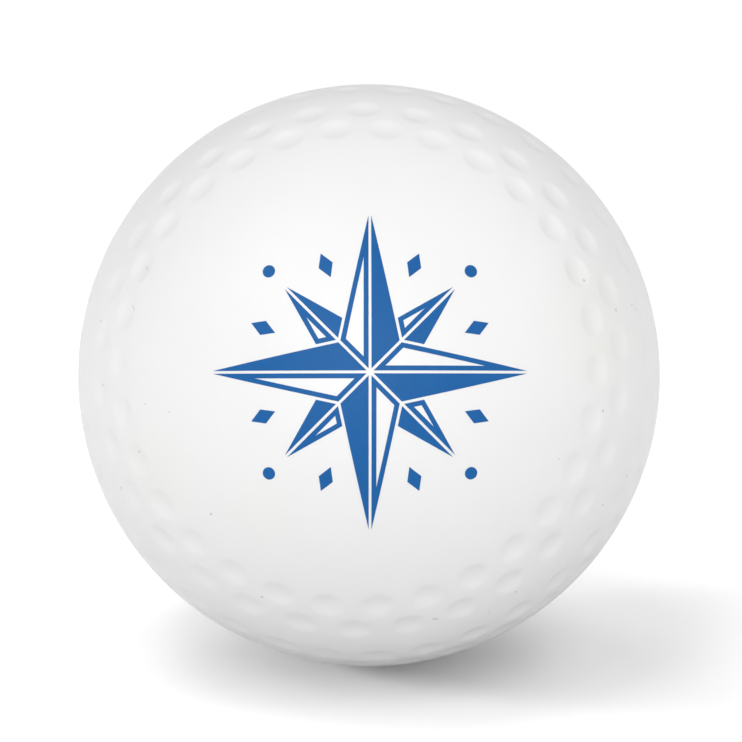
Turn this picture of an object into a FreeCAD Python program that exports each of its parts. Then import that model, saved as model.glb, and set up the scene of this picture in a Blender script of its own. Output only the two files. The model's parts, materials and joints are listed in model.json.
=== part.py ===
import FreeCAD, Part
import math
import os

# A field hockey ball: one solid moulding with staggered rings of shallow dimples.
#
# The ball is moulded in two alike halves. From its pole down, each half has a smooth cap, two rings of
# dimples, a smooth band, two more rings, and half of the smooth belt where the halves meet. The second
# ring of a pair stands half a step round from the first, so its dimples lie opposite the gaps.
#
# Frame: the origin is the ball's centre and +Z is up. The front pole, where the ball is printed, looks
# along -Y and leans up, as the ball lies on the ground with its print turned towards the player.

# Driving sizes, in millimetres
BALL_DIAMETER = 73.0
DIMPLE_DIAMETER = 4.0
DIMPLE_DEPTH = 0.3

# Rings of dimples on each half, each by the angle that it lies down from its pole, in degrees
FIRST_RING_ANGLE = 49.8
SECOND_RING_ANGLE = 57.3
THIRD_RING_ANGLE = 70.5
FOURTH_RING_ANGLE = 77.9

# Dimples in each ring of the pair near the pole, and of the pair near the belt
POLE_PAIR_COUNT = 30
BELT_PAIR_COUNT = 36

# How far the pattern is turned about the pole, and how far the front pole leans up, in degrees
PATTERN_TURN = 6.0
POLE_LEAN = 14.5

# How far a cutter stands out from the dimple's rim and from the ball, to cut the skin cleanly
CUTTER_CLEARANCE = 0.2

BALL_RADIUS = BALL_DIAMETER / 2
DIMPLE_RADIUS = DIMPLE_DIAMETER / 2
CENTRE = FreeCAD.Vector(0, 0, 0)
ACROSS = FreeCAD.Vector(1, 0, 0)
SIDEWAYS = FreeCAD.Vector(0, 1, 0)
POLE = FreeCAD.Vector(0, 0, 1)


def plain_ball():
    """The ball without dimples: a belt about the pole's axis, with a cap on each side of it.

    The caps come from a sphere whose own axis and seam lie in the belt, because facets crowd together
    where a sphere's axis comes out, and the print needs an even surface.
    """
    cap_angle = math.radians(FIRST_RING_ANGLE) - DIMPLE_DIAMETER / BALL_RADIUS
    latitude = 90 - math.degrees(cap_angle)
    half_height = BALL_RADIUS * math.cos(cap_angle)
    belt = Part.makeSphere(BALL_RADIUS, CENTRE, POLE, -latitude, latitude, 360)
    middle = Part.makeCylinder(BALL_DIAMETER, 2 * half_height, POLE * -half_height, POLE)
    whole = Part.makeSphere(BALL_RADIUS, CENTRE, SIDEWAYS)
    whole.rotate(CENTRE, SIDEWAYS, 90)
    return belt.fuse(whole.cut(middle))


def dimple_cutter():
    """The tool for one dimple, on the pole: a short round peg with a shallow spherical end.

    The end passes through the dimple's lowest point and its round rim, which gives the sphere's radius.
    """
    rim_drop = BALL_RADIUS - math.sqrt(BALL_RADIUS**2 - DIMPLE_RADIUS**2)
    cup_depth = DIMPLE_DEPTH - rim_drop
    cup_radius = (DIMPLE_RADIUS**2 + cup_depth**2) / (2 * cup_depth)
    cup_centre = POLE * (BALL_RADIUS - DIMPLE_DEPTH + cup_radius)
    peg_foot = BALL_RADIUS - 2 * DIMPLE_DEPTH
    peg_height = 2 * DIMPLE_DEPTH + CUTTER_CLEARANCE
    peg = Part.makeCylinder(DIMPLE_RADIUS + CUTTER_CLEARANCE, peg_height, POLE * peg_foot, POLE)
    return peg.common(Part.makeSphere(cup_radius, cup_centre, SIDEWAYS))


def ring_of_cutters(angle, count, steps_on):
    """A ring of count cutters at an angle down from the pole, turned on by a part of a step."""
    first = dimple_cutter()
    first.rotate(CENTRE, ACROSS, -angle)
    step = 360 / count
    ring = []
    for place in range(count):
        cutter = first.copy()
        cutter.rotate(CENTRE, POLE, -(PATTERN_TURN + (place + steps_on) * step))
        ring.append(cutter)
    return ring


def dimpled_ball():
    """The whole ball, with the same four rings on both halves, turned to how it lies on the ground."""
    front = ring_of_cutters(FIRST_RING_ANGLE, POLE_PAIR_COUNT, 0)
    front += ring_of_cutters(SECOND_RING_ANGLE, POLE_PAIR_COUNT, 0.5)
    front += ring_of_cutters(THIRD_RING_ANGLE, BELT_PAIR_COUNT, 0)
    front += ring_of_cutters(FOURTH_RING_ANGLE, BELT_PAIR_COUNT, 0.5)
    back = [cutter.mirror(CENTRE, POLE) for cutter in front]
    ball = plain_ball().cut(Part.makeCompound(front + back)).Solids[0]
    ball.rotate(CENTRE, ACROSS, 90 - POLE_LEAN)
    return ball


os.makedirs("parts", exist_ok=True)
dimpled_ball().exportStep("parts/ball.step")
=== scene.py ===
"""The looks of a field hockey ball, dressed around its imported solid.

The ball is one moulding, so it has one skin: a grid round its pole, dimpled by formula. The print is a thin
film of ink over the front pole, in a generic star. The rest is the studio: a floor, lamps and the camera.
Lengths are in metres and angles in degrees, unless a name says otherwise.
"""

import json
import logging
import math
from dataclasses import dataclass, field
from enum import Enum

import bpy
import numpy as np
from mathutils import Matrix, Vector


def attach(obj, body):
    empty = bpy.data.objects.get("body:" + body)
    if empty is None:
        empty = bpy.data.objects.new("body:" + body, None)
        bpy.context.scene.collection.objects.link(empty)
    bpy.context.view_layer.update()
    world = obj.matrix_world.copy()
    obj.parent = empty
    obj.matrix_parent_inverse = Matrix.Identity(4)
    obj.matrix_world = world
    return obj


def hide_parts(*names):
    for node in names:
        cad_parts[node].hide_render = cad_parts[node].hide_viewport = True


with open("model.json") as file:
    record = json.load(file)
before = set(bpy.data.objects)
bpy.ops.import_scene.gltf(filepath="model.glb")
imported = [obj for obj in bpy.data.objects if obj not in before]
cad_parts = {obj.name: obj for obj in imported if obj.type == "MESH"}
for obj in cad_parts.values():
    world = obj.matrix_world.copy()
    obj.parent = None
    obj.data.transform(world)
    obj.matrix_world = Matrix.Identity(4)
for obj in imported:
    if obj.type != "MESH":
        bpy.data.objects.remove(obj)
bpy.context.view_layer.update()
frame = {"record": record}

PICTURE_SIDE = 742
MM = 0.001
CREASE_ANGLE = 45.0
BELT_ANGLE = 90.0
FULL_TURN = 360.0
WHITE = (1.0, 1.0, 1.0, 1.0)

Colour = tuple[float, float, float]

log = logging.getLogger("ball")


class Fill(Enum):
    """How a shape of the print is inked."""

    SOLID = "inked all over"
    OPEN = "inked along its edge only"


def ball_radius() -> float:
    """The ball's radius, which is how far the ground lies under its centre.

    Returns:
        The radius in metres.
    """
    mounts = {mount["name"]: mount for mount in frame["record"]["mounts"]}
    return -mounts["ground_contact"]["pos_m"][2]


def direction(azimuth: float, elevation: float) -> np.ndarray:
    """The unit vector to a place on the ball or round it.

    Args:
        azimuth: angle to the right of the front, which looks along -Y.
        elevation: angle above the horizon.

    Returns:
        A vector of three.
    """
    turn, rise = math.radians(azimuth), math.radians(elevation)
    return np.array([math.sin(turn) * math.cos(rise), -math.cos(turn) * math.cos(rise), math.sin(rise)])


def axes_about(centre: np.ndarray) -> tuple[np.ndarray, np.ndarray]:
    """The directions that lie to the right of and above a place on the ball, as seen from outside it.

    Right is level, square to the centre. Top is square to both.

    Args:
        centre: the unit vector to the place.

    Returns:
        The unit vectors right and top.
    """
    right = np.cross([0.0, 0.0, 1.0], centre)
    right /= np.linalg.norm(right)
    return right, np.cross(centre, right)


def wrapped_quads(rows: int, columns: int) -> np.ndarray:
    """The faces of a grid whose last column meets its first.

    Each face joins a point, the next in its row, and the two under them, in the order that turns the faces
    outwards where the rows run away from the eye and the columns run clockwise.

    Args:
        rows: how many rows of points.
        columns: how many points in a row.

    Returns:
        An array of point numbers, four to a face.
    """
    here = np.arange(rows * columns).reshape(rows, columns)
    after = np.roll(here, -1, axis=1)
    return np.stack([here[:-1], after[:-1], after[1:], here[1:]], axis=-1).reshape(-1, 4)


def mesh_object(name: str, points: np.ndarray, faces: list[list[int]]) -> bpy.types.Object:
    """A smooth-shaded mesh object at the origin.

    Args:
        name: the piece's name.
        points: array of points, three coordinates each.
        faces: point numbers of each face.

    Returns:
        The object, linked to the scene.
    """
    mesh = bpy.data.meshes.new(name)
    mesh.from_pydata(points.tolist(), [], faces)
    mesh.validate()
    mesh.polygons.foreach_set("use_smooth", [True] * len(mesh.polygons))
    mesh.set_sharp_from_angle(angle=math.radians(CREASE_ANGLE))
    mesh.update()
    piece = bpy.data.objects.new(name, mesh)
    bpy.context.scene.collection.objects.link(piece)
    return piece


@dataclass(frozen=True)
class DimpleRing:
    """A ring of dimples, alike on both halves of the ball.

    The polar angle runs from the half's own pole. Steps on is how far the ring is turned, in parts of the
    step from one dimple to the next.
    """

    polar: float
    count: int
    steps_on: float
    radius: float = 2.0 * MM
    depth: float = 0.3 * MM
    turn: float = 6.0
    rim_softness: float = 0.22

    def reach(self, radius: float) -> float:
        """The angle from a dimple's middle to the end of its soft rim, on a ball of that radius."""
        return math.degrees(self.radius * math.sqrt(1 + self.rim_softness) / radius)

    def depth_at(self, polar: np.ndarray, azimuth: np.ndarray, radius: float) -> np.ndarray:
        """How far the ring's dimples sink the skin at each point.

        With x the distance along the ball to the nearest dimple's middle, in dimple radii, the cup is the
        share s = 1 - x squared of the depth. Near the rim, where s runs from -w to w, (s + w) squared / 4w
        takes its place, and outside it is nothing.

        Args:
            polar: angles from the nearer pole, in radians.
            azimuth: angles round the pole, in radians.
            radius: the ball's radius.

        Returns:
            Depths in metres, in the shape of the two arrays together.
        """
        step = 2 * math.pi / self.count
        start = math.radians(self.turn) + self.steps_on * step
        aside = (azimuth - start) - step * np.round((azimuth - start) / step)
        middle = math.radians(self.polar)
        down, round_pole = np.sin((polar - middle) / 2) ** 2, np.sin(aside / 2) ** 2
        half_chord = down + np.sin(polar) * math.sin(middle) * round_pole
        distance = 2 * radius * np.arcsin(np.sqrt(half_chord)) / self.radius
        share, soft = 1 - distance**2, self.rim_softness
        rim = (share + soft) ** 2 / (4 * soft)
        return self.depth * np.where(share > soft, share, np.where(share < -soft, 0.0, rim))


@dataclass
class BallSkin:
    """The moulded skin of the whole ball, with its dimples."""

    radius: float
    lean: float = 14.5
    columns: int = 576
    faint_ring: DimpleRing = DimpleRing(
        polar=38.2, count=18, steps_on=0.0, radius=1.75 * MM, depth=0.055 * MM, turn=16.85
    )
    pole_pair: tuple[DimpleRing, DimpleRing] = (
        DimpleRing(polar=49.8, count=30, steps_on=0.0),
        DimpleRing(polar=57.3, count=30, steps_on=0.5),
    )
    belt_pair: tuple[DimpleRing, DimpleRing] = (
        DimpleRing(polar=70.5, count=36, steps_on=0.0),
        DimpleRing(polar=77.9, count=36, steps_on=0.5),
    )
    cap_step: float = 2.5
    faint_step: float = 1.0
    smooth_step: float = 1.6
    dimple_step: float = 0.6

    def row_angles(self) -> np.ndarray:
        """Angles of the grid's rows from the front pole, close together where the skin is dimpled.

        Returns:
            Angles in degrees, without the two poles.
        """
        zones = [0.0]
        for first, last in ((self.faint_ring, self.faint_ring), self.pole_pair, self.belt_pair):
            zones += [first.polar - first.reach(self.radius), last.polar + last.reach(self.radius)]
        zones.append(BELT_ANGLE)
        steps = [self.cap_step, self.faint_step, self.smooth_step, self.dimple_step, self.smooth_step]
        steps += [self.dimple_step, self.smooth_step]
        half = np.concatenate([
            np.linspace(start, end, round((end - start) / step), endpoint=False)
            for start, end, step in zip(zones[:-1], zones[1:], steps)
        ])
        return np.concatenate([half[1:], [BELT_ANGLE], 2 * BELT_ANGLE - half[:0:-1]])

    def surface(self, polar: np.ndarray, azimuth: np.ndarray) -> np.ndarray:
        """The dimpled skin as a function of two angles.

        The point is the ball's radius, less the dimples' depth, along cos(polar) times the pole plus
        sin(polar) times the direction that azimuth gives, clockwise from the top. The back half mirrors the
        front half.

        Args:
            polar: angles from the front pole, in radians, a column.
            azimuth: angles round the pole, in radians, a row.

        Returns:
            Points in the frame, rows by columns by three.
        """
        pole = direction(0.0, self.lean)
        right, top = axes_about(pole)
        nearer = np.minimum(polar, math.pi - polar)
        rings = (self.faint_ring, *self.pole_pair, *self.belt_pair)
        depth = sum(ring.depth_at(nearer, azimuth, self.radius) for ring in rings)
        out = (self.radius - depth)[..., None]
        across = np.cos(azimuth)[..., None] * top + np.sin(azimuth)[..., None] * right
        return out * (np.cos(polar)[..., None] * pole + np.sin(polar)[..., None] * across)

    def build(self) -> bpy.types.Object:
        """The skin as one closed mesh, with a fan of triangles at each pole.

        Returns:
            The skin's object.
        """
        polar = np.radians(self.row_angles())[:, None]
        azimuth = np.linspace(0, 2 * math.pi, self.columns, endpoint=False)[None, :]
        grid = self.surface(polar, azimuth).reshape(-1, 3)
        pole = direction(0.0, self.lean) * self.radius
        points = np.concatenate([grid, [pole, -pole]])
        first = np.arange(self.columns)
        last = first + len(grid) - self.columns
        front_fan = np.stack([np.full(self.columns, len(grid)), np.roll(first, -1), first], axis=-1)
        back_fan = np.stack([last, np.roll(last, -1), np.full(self.columns, len(grid) + 1)], axis=-1)
        faces = wrapped_quads(len(polar), self.columns).tolist() + front_fan.tolist() + back_fan.tolist()
        return mesh_object("ball_skin", points, faces)

    def dress(self, finish: "MouldedPlastic") -> bpy.types.Object:
        """Builds the skin in its finish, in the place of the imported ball.

        Args:
            finish: the plastic's finish.

        Returns:
            The skin's object.
        """
        skin = self.build()
        skin.data.materials.append(finish.material())
        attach(skin, "root")
        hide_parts("ball")
        return skin


@dataclass
class StarPrint:
    """The print over the front pole: a star of eight split rays, with diamonds and dots between them.

    Long rays stand a step apart, with a short ray halfway between them. The star is drawn on a flat sheet
    that lies on the ball, as a pad lays the ink. A distance from the sheet's middle is the same distance
    along the ball. Tip split is the share of a triangle's edge by which its last corner is made into two.
    """

    radius: float
    azimuth: float = 3.8
    elevation: float = 12.6
    long_ray: float = 20.0 * MM
    short_ray: float = 14.8 * MM
    long_rays: int = 4
    shoulder: float = 4.9 * MM
    short_base: float = 0.16
    gap: float = 0.16 * MM
    line: float = 0.55 * MM
    diamond_place: float = 13.2 * MM
    diamond_length: float = 1.9 * MM
    diamond_width: float = 1.05 * MM
    dot_place: float = 16.6 * MM
    dot_radius: float = 0.75 * MM
    dot_grid: int = 9
    thickness: float = 0.03 * MM
    facet: float = 0.9 * MM
    tip_split: float = 0.005
    points: list[np.ndarray] = field(default_factory=list)
    faces: list[np.ndarray] = field(default_factory=list)

    @property
    def half_step(self) -> float:
        """The angle from a long ray to the short ray next to it."""
        return FULL_TURN / self.long_rays / 2

    @staticmethod
    def at(distance: float, angle: float) -> np.ndarray:
        """The point of the sheet at a distance from its middle, at an angle clockwise from the top."""
        return distance * np.array([math.sin(math.radians(angle)), math.cos(math.radians(angle))])

    @staticmethod
    def inset(corners: np.ndarray, width: float) -> np.ndarray:
        """A polygon drawn inside another, at the same distance from each of its edges.

        Each corner moves by the width times the sum of the two edges' inward normals, over one plus their
        dot product, which mitres it.

        Args:
            corners: the polygon's corners, clockwise.
            width: the distance between the two.

        Returns:
            The inner polygon's corners.
        """
        ahead = np.roll(corners, -1, axis=0) - corners
        ahead /= np.linalg.norm(ahead, axis=1, keepdims=True)
        inward = np.stack([ahead[:, 1], -ahead[:, 0]], axis=-1)
        before = np.roll(inward, 1, axis=0)
        mitre = (inward + before) / (1 + (inward * before).sum(axis=1, keepdims=True))
        return corners + width * mitre

    def on_ball(self, sheet: np.ndarray, height: float) -> np.ndarray:
        """Lays points of the sheet on the ball.

        A point at a distance d from the sheet's middle lies at the angle d / radius from the print's middle,
        in the same direction.

        Args:
            sheet: points of the sheet, two coordinates each.
            height: how far they stand out from the skin.

        Returns:
            Points in the frame.
        """
        middle = direction(self.azimuth, self.elevation)
        right, top = axes_about(middle)
        away = np.linalg.norm(sheet, axis=-1, keepdims=True)
        aside = sheet[..., :1] * right + sheet[..., 1:] * top
        angle = away / self.radius
        outward = np.cos(angle) * middle + np.sinc(angle / math.pi) * aside / self.radius
        return (self.radius + height) * outward

    def add_tube(self, rails: np.ndarray) -> None:
        """Adds a closed band of ink between two loops.

        The band's section is a flat box, from its inner to its outer edge on top and back underneath,
        carried round the loop.

        Args:
            rails: loops of points of the sheet, from the inner to the outer one, clockwise.
        """
        top, under = self.on_ball(rails, self.thickness), self.on_ball(rails[::-1], -self.thickness)
        section = np.concatenate([top, under])
        faces = wrapped_quads(len(section) + 1, rails.shape[1]) % (section.size // 3)
        self.add(section.reshape(-1, 3), faces)

    def add_sheet(self, sheet: np.ndarray) -> None:
        """Adds a patch of ink: a top, an underside and the walls round them.

        Args:
            sheet: a grid of points of the sheet, whose rows run away from the top and columns clockwise.
        """
        rows, columns = sheet.shape[:2]
        here = np.arange(rows * columns).reshape(rows, columns)
        top = np.stack([here[:-1, :-1], here[1:, :-1], here[1:, 1:], here[:-1, 1:]], axis=-1).reshape(-1, 4)
        under = top[:, ::-1] + here.size
        edge = np.concatenate([here[0, :-1], here[:-1, -1], here[-1, :0:-1], here[:0:-1, 0]])
        ahead = np.roll(edge, -1)
        walls = np.stack([edge, ahead, ahead + here.size, edge + here.size], axis=-1)
        flat = sheet.reshape(-1, 2)
        points = np.concatenate([self.on_ball(flat, self.thickness), self.on_ball(flat, -self.thickness)])
        self.add(points, np.concatenate([top, under, walls]))

    def add(self, points: np.ndarray, faces: np.ndarray) -> None:
        """Keeps points and faces for the mesh, the faces' numbers moved on past the points before them."""
        self.faces.append(faces + sum(len(part) for part in self.points))
        self.points.append(points)

    def add_shape(self, corners: np.ndarray, fill: Fill) -> None:
        """Adds a three-cornered or four-cornered shape to the print.

        An open shape is a line along its edge. A solid one is a grid between its first and second side: the
        point at s along and t across is the four corners weighted by (1-s)(1-t), s(1-t), st and (1-s)t.

        Args:
            corners: the shape's corners, clockwise.
            fill: how it is inked.
        """
        outer = self.inset(corners, self.gap)
        if fill is Fill.OPEN:
            inner = self.inset(outer, self.line)
            mitre = np.linalg.norm(outer - inner, axis=1).max()
            out = np.linspace(0, 1, 1 + math.ceil(mitre / self.facet))[:, None, None]
            loops = inner * (1 - out) + outer * out
            ahead = np.roll(loops, -1, axis=1)
            longest = np.linalg.norm(ahead - loops, axis=2).max()
            share = np.linspace(0, 1, math.ceil(longest / self.facet), endpoint=False)[None, None, :, None]
            rails = loops[:, :, None] * (1 - share) + ahead[:, :, None] * share
            self.add_tube(rails.reshape(len(loops), -1, 2))
            return
        a, b, c, *rest = outer
        if rest:
            d = rest[0]
        else:
            c, d = c * (1 - self.tip_split) + b * self.tip_split, c
        along = np.linspace(0, 1, 2 + math.ceil(np.linalg.norm(d - a) / self.facet))[:, None, None]
        across = np.linspace(0, 1, 2 + math.ceil(np.linalg.norm(b - a) / self.facet))[None, :, None]
        near, far = a * (1 - across) + b * across, d * (1 - across) + c * across
        self.add_sheet(near * (1 - along) + far * along)

    def add_dot(self, middle: np.ndarray) -> None:
        """Adds a round dot, as a square grid drawn out to a circle.

        The point (u, v) of the square goes to u times the root of 1 - v squared / 2, and v times the root
        of 1 - u squared / 2.

        Args:
            middle: the dot's middle on the sheet.
        """
        side = np.linspace(-1, 1, self.dot_grid)
        u, v = np.meshgrid(side, -side)
        disc = np.stack([u * np.sqrt(1 - v**2 / 2), v * np.sqrt(1 - u**2 / 2)], axis=-1)
        self.add_sheet(middle + self.dot_radius * disc)

    def add_rays(self, angle: float) -> None:
        """Adds a long ray, and the short ray that stands half a step on from it.

        A ray is split along its middle. Its clockwise half is solid and the other half is open.

        Args:
            angle: the long ray's angle, clockwise from the top.
        """
        centre = self.at(0.0, 0.0)
        tip = self.at(self.long_ray, angle)
        for side, fill in ((1, Fill.SOLID), (-1, Fill.OPEN)):
            shoulder = self.at(self.shoulder, angle + self.half_step * side)
            half = np.array([shoulder, centre, tip])
            self.add_shape(half if side > 0 else half[::-1], fill)
        short_tip = self.at(self.short_ray, angle + self.half_step)
        shoulder = self.at(self.shoulder, angle + self.half_step)
        for side, fill in ((1, Fill.SOLID), (-1, Fill.OPEN)):
            next_tip = self.at(self.long_ray, angle + self.half_step * (1 + side))
            base = shoulder * (1 - self.short_base) + next_tip * self.short_base
            half = np.array([base, shoulder, short_tip])
            self.add_shape(half if side > 0 else half[::-1], fill)

    def add_diamond(self, angle: float) -> None:
        """Adds a small diamond that points away from the sheet's middle, at an angle from the top."""
        middle, away = self.at(self.diamond_place, angle), self.at(1.0, angle)
        aside = np.array([away[1], -away[0]])
        reach, half_width = away * self.diamond_length, aside * self.diamond_width
        corners = np.array([middle + reach, middle + half_width, middle - reach, middle - half_width])
        self.add_shape(corners, Fill.SOLID)

    def build(self) -> bpy.types.Object:
        """The whole print as one mesh.

        Returns:
            The print's object.
        """
        for place in range(2 * self.long_rays):
            if place % 2 == 0:
                self.add_rays(self.half_step * place)
            else:
                self.add_dot(self.at(self.dot_place, self.half_step * place))
        for place in range(2 * self.long_rays):
            self.add_diamond(self.half_step * (place + 0.5))
        return mesh_object("star_print", np.concatenate(self.points), np.concatenate(self.faces).tolist())

    def dress(self, finish: "PrintInk") -> bpy.types.Object:
        """Builds the print in its ink.

        Args:
            finish: the ink's finish.

        Returns:
            The print's object.
        """
        film = self.build()
        film.data.materials.append(finish.material())
        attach(film, "root")
        return film


class NodeSheet:
    """A small helper that adds nodes to a tree and links them."""

    def __init__(self, tree: bpy.types.NodeTree) -> None:
        """Empties the tree and keeps it."""
        self.tree = tree
        tree.nodes.clear()

    def add(self, kind: str, settings: dict | None = None, **sockets: object) -> bpy.types.Node:
        """Adds a node, sets its properties and fills its inputs.

        Args:
            kind: the node's type.
            settings: the node's own properties.
            sockets: an input's name, with underscores for blanks, or n and its number, and the value or
                the output to link to it.

        Returns:
            The node.
        """
        node = self.tree.nodes.new(kind)
        for name, value in (settings or {}).items():
            setattr(node, name, value)
        for name, value in sockets.items():
            socket = node.inputs[int(name[1:]) if name[1:].isdigit() else name.replace("_", " ")]
            if isinstance(value, bpy.types.NodeSocket):
                self.tree.links.new(value, socket)
            else:
                socket.default_value = value
        return node

    def blend(self, share: bpy.types.NodeSocket, first: object, second: object) -> bpy.types.NodeSocket:
        """A colour between two others.

        The Mix node takes its two colours at inputs 6 and 7 and gives the mixed one at output 2.

        Args:
            share: how much there is of the second colour, from 0 to 1.
            first: a colour, or the output that gives it.
            second: a colour, or the output that gives it.

        Returns:
            The output that gives the mixed colour.
        """
        return self.add("ShaderNodeMix", {"data_type": "RGBA"}, n0=share, n6=first, n7=second).outputs[2]


def new_group(name: str, inputs: dict[str, str], outputs: tuple[str, ...]) -> bpy.types.NodeTree:
    """An empty shader node group with its sockets.

    Args:
        name: the group's name.
        inputs: each input's name and its type, Float or Vector.
        outputs: the names of its outputs, which are numbers.

    Returns:
        The node group.
    """
    group = bpy.data.node_groups.new(name, "ShaderNodeTree")
    for socket, kind in inputs.items():
        group.interface.new_socket(socket, in_out="INPUT", socket_type=f"NodeSocket{kind}")
    for socket in outputs:
        group.interface.new_socket(socket, in_out="OUTPUT", socket_type="NodeSocketFloat")
    return group


def grain_group() -> bpy.types.NodeTree:
    """The shared grain of moulded plastic and of ink on it, built once.

    Its inputs are the object's coordinates and the sizes of the mottling and of the skin's fine waviness. Its
    outputs run from 0 to 1: Mottle for colour and gloss, and Peel for height.

    Returns:
        The node group.
    """
    name = "moulded_grain"
    if name in bpy.data.node_groups:
        return bpy.data.node_groups[name]
    mottle_roughness = 0.55
    peel_roughness = 0.4
    inputs = {"Place": "Vector", "Mottle Scale": "Float", "Peel Scale": "Float"}
    group = new_group(name, inputs, ("Mottle", "Peel"))
    sheet = NodeSheet(group)
    given = sheet.add("NodeGroupInput").outputs
    mottle = sheet.add("ShaderNodeTexNoise", Vector=given["Place"], Scale=given["Mottle Scale"], Detail=3.0,
                       Roughness=mottle_roughness)
    peel = sheet.add("ShaderNodeTexNoise", Vector=given["Place"], Scale=given["Peel Scale"], Detail=1.0,
                     Roughness=peel_roughness)
    sheet.add("NodeGroupOutput", Mottle=mottle.outputs[0], Peel=peel.outputs[0])
    return group


def spot_group() -> bpy.types.NodeTree:
    """The shared mask of one round spot on the ball, built once.

    Its inputs are the direction from the ball's centre, that of the spot's middle, and the spot's half width
    as an angle in radians. The mask is 1 in the middle and 0 outside, and falls from one to the other about
    the edge, from the inner to the outer share of the half width.

    Returns:
        The node group.
    """
    name = "round_spot"
    if name in bpy.data.node_groups:
        return bpy.data.node_groups[name]
    inner_share = 0.5
    outer_share = 1.5
    group = new_group(name, {"Outward": "Vector", "Middle": "Vector", "Half Width": "Float"}, ("Mask",))
    sheet = NodeSheet(group)
    given = sheet.add("NodeGroupInput").outputs
    away = sheet.add("ShaderNodeVectorMath", {"operation": "DISTANCE"}, n0=given["Outward"],
                     n1=given["Middle"])
    inner, outer = (
        sheet.add("ShaderNodeMath", {"operation": "MULTIPLY"}, n0=given["Half Width"], n1=share).outputs[0]
        for share in (inner_share, outer_share)
    )
    mask = sheet.add("ShaderNodeMapRange", {"interpolation_type": "SMOOTHSTEP"}, Value=away.outputs["Value"],
                     From_Min=outer, From_Max=inner, To_Min=0.0, To_Max=1.0)
    sheet.add("NodeGroupOutput", Mask=mask.outputs[0])
    return group


@dataclass(frozen=True, kw_only=True)
class GrainedFinish:
    """A finish that the shared grain mottles and makes faintly wavy.

    Colours and roughness are given for the mottling's lowest and highest value.
    """

    name: str
    low: Colour
    high: Colour
    roughness: tuple[float, float]
    mottle_scale: float
    peel_scale: float
    peel_height: float
    specular: float = 0.5
    ior: float = 1.5

    def marked(self, sheet: NodeSheet, place: bpy.types.NodeSocket,
               colour: bpy.types.NodeSocket) -> bpy.types.NodeSocket:
        """The colour with its marks, which a plain finish has none of."""
        return colour

    def material(self) -> bpy.types.Material:
        """The finish as a material.

        Returns:
            The material.
        """
        made = bpy.data.materials.new(self.name)
        made.use_nodes = True
        sheet = NodeSheet(made.node_tree)
        place = sheet.add("ShaderNodeTexCoord").outputs["Object"]
        grain = sheet.add("ShaderNodeGroup", {"node_tree": grain_group()}, Place=place,
                          Mottle_Scale=self.mottle_scale, Peel_Scale=self.peel_scale)
        mottled = sheet.blend(grain.outputs["Mottle"], (*self.low, 1.0), (*self.high, 1.0))
        gloss = sheet.add("ShaderNodeMapRange", Value=grain.outputs["Mottle"], To_Min=self.roughness[0],
                          To_Max=self.roughness[1])
        bump = sheet.add("ShaderNodeBump", Distance=self.peel_height, Height=grain.outputs["Peel"])
        surface = sheet.add("ShaderNodeBsdfPrincipled", Normal=bump.outputs[0], Roughness=gloss.outputs[0],
                            Base_Color=self.marked(sheet, place, mottled), IOR=self.ior,
                            Specular_IOR_Level=self.specular)
        sheet.add("ShaderNodeOutputMaterial", Surface=surface.outputs[0])
        return made


@dataclass(frozen=True, kw_only=True)
class Spot:
    """A round spot of dirt on the skin, by its place in the picture in pixels and its true width."""

    picture_x: float
    picture_y: float
    width: float = 0.36 * MM


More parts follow.
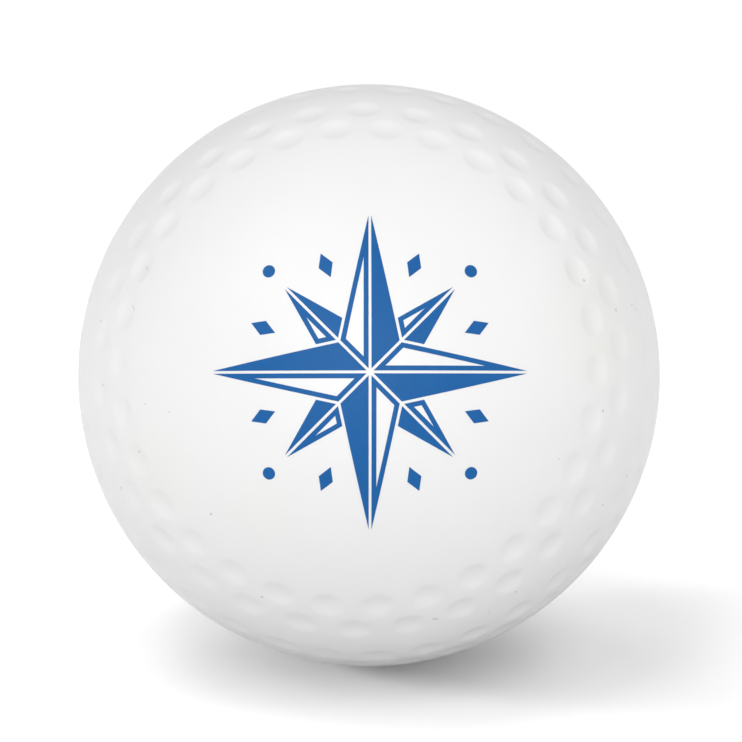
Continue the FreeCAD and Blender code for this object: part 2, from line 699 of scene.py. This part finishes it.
@dataclass(frozen=True, kw_only=True)
class MouldedPlastic(GrainedFinish):
    """White moulded plastic, semi-gloss and faintly mottled, with the specks and stains of play."""

    view: "PhotographView"
    name: str = "white_plastic"
    low: Colour = (0.885, 0.886, 0.884)
    high: Colour = (0.905, 0.905, 0.9)
    roughness: tuple[float, float] = (0.32, 0.42)
    mottle_scale: float = 160.0
    peel_scale: float = 1100.0
    peel_height: float = 0.0015 * MM
    stain_colour: Colour = (0.895, 0.893, 0.872)
    speck_colour: Colour = (0.66, 0.65, 0.64)
    stains: tuple[Spot, ...] = (
        Spot(picture_x=598, picture_y=325, width=12.0 * MM),
        Spot(picture_x=160, picture_y=470, width=8.0 * MM),
        Spot(picture_x=262, picture_y=512, width=6.0 * MM),
    )
    specks: tuple[Spot, ...] = (
        # To the right of the print
        Spot(picture_x=585, picture_y=280),
        Spot(picture_x=616, picture_y=310),
        Spot(picture_x=632, picture_y=305, width=0.3 * MM),
        Spot(picture_x=635, picture_y=309, width=0.24 * MM),
        Spot(picture_x=603, picture_y=411),
        Spot(picture_x=603, picture_y=505),
        Spot(picture_x=559, picture_y=459, width=0.2 * MM),
        Spot(picture_x=627, picture_y=476),
        Spot(picture_x=645, picture_y=452),
        # To its left
        Spot(picture_x=145, picture_y=267),
        Spot(picture_x=148, picture_y=270, width=0.3 * MM),
        Spot(picture_x=101, picture_y=321),
        Spot(picture_x=101, picture_y=385),
        Spot(picture_x=138, picture_y=452),
        Spot(picture_x=132, picture_y=306, width=0.26 * MM),
        Spot(picture_x=133, picture_y=308, width=0.26 * MM),
        Spot(picture_x=134, picture_y=310, width=0.22 * MM),
        Spot(picture_x=121, picture_y=488),
        Spot(picture_x=169, picture_y=412, width=0.2 * MM),
        Spot(picture_x=145, picture_y=404, width=0.2 * MM),
        Spot(picture_x=211, picture_y=514),
        # Under it
        Spot(picture_x=262, picture_y=597),
        Spot(picture_x=457, picture_y=647),
        Spot(picture_x=516, picture_y=592),
        Spot(picture_x=434, picture_y=619, width=0.4 * MM),
        Spot(picture_x=437, picture_y=619),
        Spot(picture_x=489, picture_y=612, width=0.2 * MM),
        Spot(picture_x=489, picture_y=614, width=0.2 * MM),
    )

    def marked(self, sheet: NodeSheet, place: bpy.types.NodeSocket,
               colour: bpy.types.NodeSocket) -> bpy.types.NodeSocket:
        """Lays the stains and then the specks over a colour.

        Args:
            sheet: the node tree to add them to.
            place: the object's coordinates.
            colour: the clean plastic's colour.

        Returns:
            The spotted colour.
        """
        outward = sheet.add("ShaderNodeVectorMath", {"operation": "NORMALIZE"}, n0=place).outputs[0]
        for spots, tint in ((self.stains, self.stain_colour), (self.specks, self.speck_colour)):
            for spot in spots:
                middle = self.view.outward_at(spot.picture_x, spot.picture_y)
                mask = sheet.add("ShaderNodeGroup", {"node_tree": spot_group()}, Outward=outward,
                                 Middle=tuple(middle), Half_Width=spot.width / 2 / self.view.radius)
                colour = sheet.blend(mask.outputs[0], colour, (*tint, 1.0))
        return colour


@dataclass(frozen=True, kw_only=True)
class PrintInk(GrainedFinish):
    """Blue ink, laid on by a pad, satin and slightly uneven."""

    name: str = "blue_print"
    low: Colour = (0.003, 0.104, 0.335)
    high: Colour = (0.007, 0.124, 0.39)
    roughness: tuple[float, float] = (0.42, 0.54)
    mottle_scale: float = 380.0
    peel_scale: float = 1600.0
    peel_height: float = 0.001 * MM
    specular: float = 0.25


def seen_rays(sheet: NodeSheet) -> bpy.types.NodeSocket:
    """A mask of the rays that see the background: from the camera, off gloss and through glass.

    Args:
        sheet: the node tree to add it to.

    Returns:
        An output of 0 or 1.
    """
    path = sheet.add("ShaderNodeLightPath").outputs
    seen = path["Is Camera Ray"]
    for kind in ("Is Glossy Ray", "Is Transmission Ray"):
        seen = sheet.add("ShaderNodeMath", {"operation": "MAXIMUM"}, n0=seen, n1=path[kind]).outputs[0]
    return seen


@dataclass(frozen=True)
class Lamp:
    """A soft square lamp that looks at the ball."""

    name: str
    azimuth: float
    elevation: float
    power: float
    side: float = 2.4
    distance: float = 3.0

    def place(self, lit: bpy.types.Collection) -> None:
        """Puts the lamp in the scene.

        Args:
            lit: the objects that it lights.
        """
        light = bpy.data.lights.new(self.name, "AREA")
        light.shape, light.size, light.energy = "SQUARE", self.side, self.power
        lamp = bpy.data.objects.new(self.name, light)
        bpy.context.scene.collection.objects.link(lamp)
        towards = Vector(direction(self.azimuth, self.elevation))
        lamp.location = towards * self.distance
        lamp.rotation_euler = towards.to_track_quat("Z", "Y").to_euler()
        lamp.visible_camera = False
        lamp.light_linking.receiver_collection = lit


@dataclass
class Studio:
    """The floor, the lamps and the world.

    The ball and the floor have lamps of their own, so that the ball's shading and its shadow are set apart.
    """

    radius: float
    floor_size: float = 12.0
    floor_colour: float = 0.57
    floor_seen_colour: float = 0.95
    floor_lift: float = 0.13
    floor_near: float = 0.3
    floor_far: float = 0.8
    ambient: float = 0.52
    sweep_height: float = 0.12
    sweep_fade: float = 0.1
    ball_lamps: tuple[Lamp, ...] = (
        Lamp("front_softbox", azimuth=0.0, elevation=18.0, power=40.4),
        Lamp("high_left_softbox", azimuth=-45.0, elevation=48.0, power=14.3),
        Lamp("high_right_softbox", azimuth=90.0, elevation=48.0, power=4.9),
        Lamp("left_softbox", azimuth=-70.0, elevation=18.0, power=5.7),
        Lamp("right_softbox", azimuth=70.0, elevation=18.0, power=11.2),
    )
    floor_lamps: tuple[Lamp, ...] = (
        Lamp("low_left_lamp", azimuth=-85.0, elevation=13.0, power=50.0, side=0.6),
        Lamp("lowest_left_lamp", azimuth=-95.0, elevation=8.0, power=5.0, side=0.6),
        Lamp("high_left_lamp", azimuth=-45.0, elevation=70.0, power=16.0, side=1.0),
        Lamp("front_left_lamp", azimuth=-30.0, elevation=50.0, power=8.5, side=1.0),
        Lamp("front_right_lamp", azimuth=40.0, elevation=55.0, power=8.0, side=1.0),
        Lamp("back_left_lamp", azimuth=-150.0, elevation=50.0, power=8.5, side=1.0),
        Lamp("back_right_lamp", azimuth=140.0, elevation=55.0, power=7.0, side=1.0),
    )

    def build_floor(self) -> bpy.types.Object:
        """The floor, level with the lowest point of the ball.

        What sees it finds it paler, and lifted towards white, than the light that it throws back would make
        it. Far from the ball it is plain white, as a sweep is.

        Returns:
            The floor's object.
        """
        half = self.floor_size / 2
        corners = np.array([[-half, -half], [half, -half], [half, half], [-half, half]])
        floor = mesh_object("floor", np.column_stack([corners, np.full(4, -self.radius)]), [[0, 1, 2, 3]])
        made = bpy.data.materials.new("pale_floor")
        made.use_nodes = True
        sheet = NodeSheet(made.node_tree)
        matt, paler = (
            sheet.add("ShaderNodeBsdfDiffuse", Color=(grey, grey, grey, 1.0)).outputs[0]
            for grey in (self.floor_colour, self.floor_seen_colour)
        )
        lift = sheet.add("ShaderNodeEmission", Color=WHITE, Strength=self.floor_lift)
        lifted = sheet.add("ShaderNodeAddShader", n0=paler, n1=lift.outputs[0])
        place = sheet.add("ShaderNodeTexCoord").outputs["Object"]
        away = sheet.add("ShaderNodeVectorMath", {"operation": "LENGTH"}, n0=place).outputs["Value"]
        far = sheet.add("ShaderNodeMapRange", {"interpolation_type": "SMOOTHSTEP"}, Value=away,
                        From_Min=self.floor_near, From_Max=self.floor_far)
        white = sheet.add("ShaderNodeEmission", Color=WHITE, Strength=1.0)
        seen = sheet.add("ShaderNodeMixShader", n0=far.outputs[0], n1=lifted.outputs[0], n2=white.outputs[0])
        shown = sheet.add("ShaderNodeMixShader", n0=seen_rays(sheet), n1=matt, n2=seen.outputs[0])
        sheet.add("ShaderNodeOutputMaterial", Surface=shown.outputs[0])
        floor.data.materials.append(made)
        return floor

    def build_world(self) -> None:
        """The plain light from all round, with a white sweep along the horizon.

        The sweep is white for what sees it, up to its height as the sine of the elevation, and fades out
        above.
        """
        world = bpy.data.worlds.new("studio_world")
        world.use_nodes = True
        sheet = NodeSheet(world.node_tree)
        place = sheet.add("ShaderNodeTexCoord").outputs["Generated"]
        rise = sheet.add("ShaderNodeSeparateXYZ", Vector=place).outputs["Z"]
        sweep = sheet.add("ShaderNodeMapRange", Value=rise, From_Min=self.sweep_height,
                          From_Max=self.sweep_height + self.sweep_fade, To_Min=1.0, To_Max=0.0)
        seen = sheet.add("ShaderNodeMath", {"operation": "MULTIPLY"}, n0=seen_rays(sheet),
                         n1=sweep.outputs[0])
        soft, white = (
            sheet.add("ShaderNodeBackground", Color=WHITE, Strength=strength).outputs[0]
            for strength in (self.ambient, 1.0)
        )
        shown = sheet.add("ShaderNodeMixShader", n0=seen.outputs[0], n1=soft, n2=white)
        sheet.add("ShaderNodeOutputWorld", Surface=shown.outputs[0])
        bpy.context.scene.world = world

    def build(self, pieces: list[bpy.types.Object]) -> None:
        """Builds the floor, the world and the lamps.

        Args:
            pieces: the ball's own objects.
        """
        self.build_world()
        for name, lamps, objects in (
            ("lit_ball", self.ball_lamps, pieces),
            ("lit_floor", self.floor_lamps, [self.build_floor()]),
        ):
            lit = bpy.data.collections.new(name)
            for target in objects:
                lit.objects.link(target)
            for lamp in lamps:
                lamp.place(lit)


@dataclass
class PhotographView:
    """The camera, where the photograph was taken from.

    The ball's outline is a circle in the picture. Its middle and radius in pixels give the shift and the
    lens.
    """

    radius: float
    azimuth: float = 3.61
    elevation: float = 12.0
    distance_in_radii: float = 8.0
    outline_middle: tuple[float, float] = (369.0, 375.3)
    outline_radius: float = 291.0
    sensor: float = 36.0

    def outward_at(self, picture_x: float, picture_y: float) -> np.ndarray:
        """The direction from the ball's centre to the place that the picture shows at a pixel.

        In radii, the camera is at d times away, and the ray is r = aside - away, where aside is the pixel's
        way from the outline's middle, as the tangent of its angle. The ray meets the ball at t times r from
        the camera, with t the lesser root of r.r t squared - 2 d t + d squared - 1 = 0.

        Args:
            picture_x: pixels from the picture's left edge.
            picture_y: pixels from its top edge.

        Returns:
            A unit vector.
        """
        away = direction(self.azimuth, self.elevation)
        right, top = axes_about(away)
        per_pixel = math.tan(math.asin(1 / self.distance_in_radii)) / self.outline_radius
        aside = (picture_x - self.outline_middle[0]) * right + (self.outline_middle[1] - picture_y) * top
        ray = aside * per_pixel - away
        square, far = ray @ ray, self.distance_in_radii
        reach = (far - math.sqrt(max(0.0, far**2 - square * (far**2 - 1)))) / square
        place = far * away + reach * ray
        return place / np.linalg.norm(place)

    def build(self) -> bpy.types.Object:
        """The camera, as the scene's own.

        The outline's half angle has the sine 1 / distance in radii. The lens is to the sensor as the
        outline's radius, over that angle's tangent, is to the picture's side.

        Returns:
            The camera's object.
        """
        half_angle = math.asin(1 / self.distance_in_radii)
        view = bpy.data.cameras.new("camera")
        view.sensor_width = self.sensor
        view.lens = self.sensor * self.outline_radius / math.tan(half_angle) / PICTURE_SIDE
        view.shift_x = (PICTURE_SIDE / 2 - self.outline_middle[0]) / PICTURE_SIDE
        view.shift_y = (self.outline_middle[1] - PICTURE_SIDE / 2) / PICTURE_SIDE
        view.clip_start = self.radius
        camera = bpy.data.objects.new("camera", view)
        bpy.context.scene.collection.objects.link(camera)
        away = Vector(direction(self.azimuth, self.elevation))
        camera.location = away * self.distance_in_radii * self.radius
        camera.rotation_euler = away.to_track_quat("Z", "Y").to_euler()
        bpy.context.scene.camera = camera
        return camera


def main() -> None:
    """Builds the ball's pieces, the studio and the camera, in that order, and logs the pieces' face counts
    and the lens.
    """
    logging.basicConfig(level=logging.INFO, format="%(name)s: %(message)s")
    bpy.context.scene.view_settings.view_transform = "Standard"
    radius = ball_radius()
    view = PhotographView(radius)
    skin = BallSkin(radius).dress(MouldedPlastic(view=view))
    log.info("%s has %d faces", skin.name, len(skin.data.polygons))
    star = StarPrint(radius).dress(PrintInk())
    log.info("%s has %d faces", star.name, len(star.data.polygons))
    Studio(radius).build([skin, star])
    camera = view.build()
    log.info("the lens is %.1f mm", camera.data.lens)


if __name__ == "__main__":
    main()
